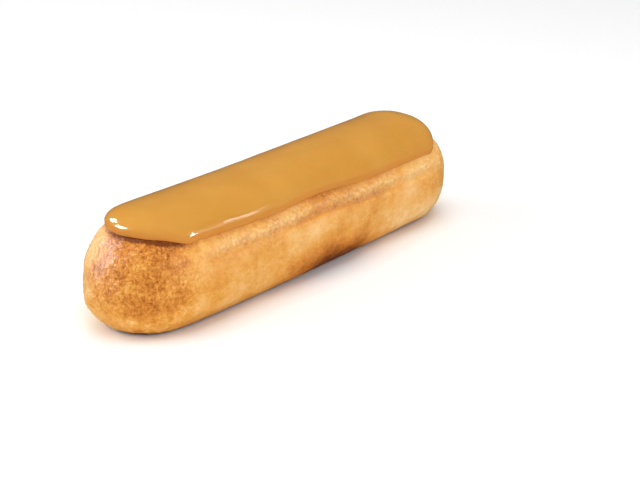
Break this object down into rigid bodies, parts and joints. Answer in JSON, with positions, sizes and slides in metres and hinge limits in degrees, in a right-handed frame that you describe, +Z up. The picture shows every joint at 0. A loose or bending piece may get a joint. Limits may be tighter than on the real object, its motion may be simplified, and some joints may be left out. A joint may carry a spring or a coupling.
{
  "type": "eclair",
  "caption": "Long finger of baked choux pastry, rounded at both ends and flat underneath, with a thick glossy sheet of coffee-coloured fondant icing along its top.",
  "frame": {"origin": "middle of the flat underside, below the middle of the box round the whole eclair", "axes": "+X along the eclair towards its blunter end, +Y across it towards the side that is away from the camera in the picture, +Z up through the icing"},
  "size_m": [0.14, 0.0372, 0.0325],
  "materials": {
    "baked_crust": "baked golden crust, satin, browner at the ends and along the base",
    "fondant": "smooth glossy caramel-coloured icing"
  },
  "bodies": {
    "root": {"choux_pastry": "baked_crust", "fondant_icing": "fondant"}
  },
  "joints": []
}
